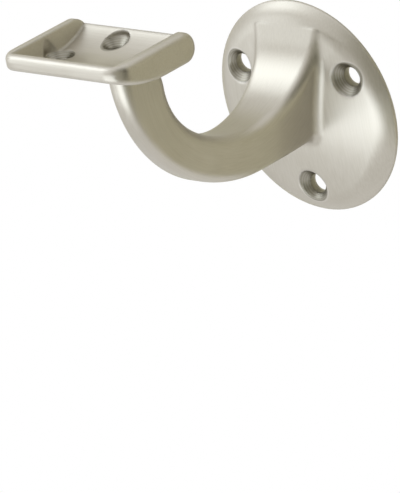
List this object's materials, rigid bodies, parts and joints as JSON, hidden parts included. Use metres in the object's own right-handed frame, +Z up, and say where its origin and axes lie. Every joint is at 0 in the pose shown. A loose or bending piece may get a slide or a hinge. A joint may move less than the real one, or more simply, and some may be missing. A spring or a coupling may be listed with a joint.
{
  "type": "handrail bracket",
  "caption": "Cast wall bracket for a handrail: round domed rose, curved tapering arm and a dished saddle plate that carries the rail.",
  "frame": {"origin": "centre of the rose's flat back, on the wall", "axes": "+Y into the wall, so the arm stands out towards -Y; +X along the rail; +Z up"},
  "size_m": [0.065, 0.0955, 0.0829],
  "materials": {
    "satin_nickel": "satin"
  },
  "bodies": {
    "root": {"bracket_casting": "satin_nickel"}
  },
  "joints": []
}
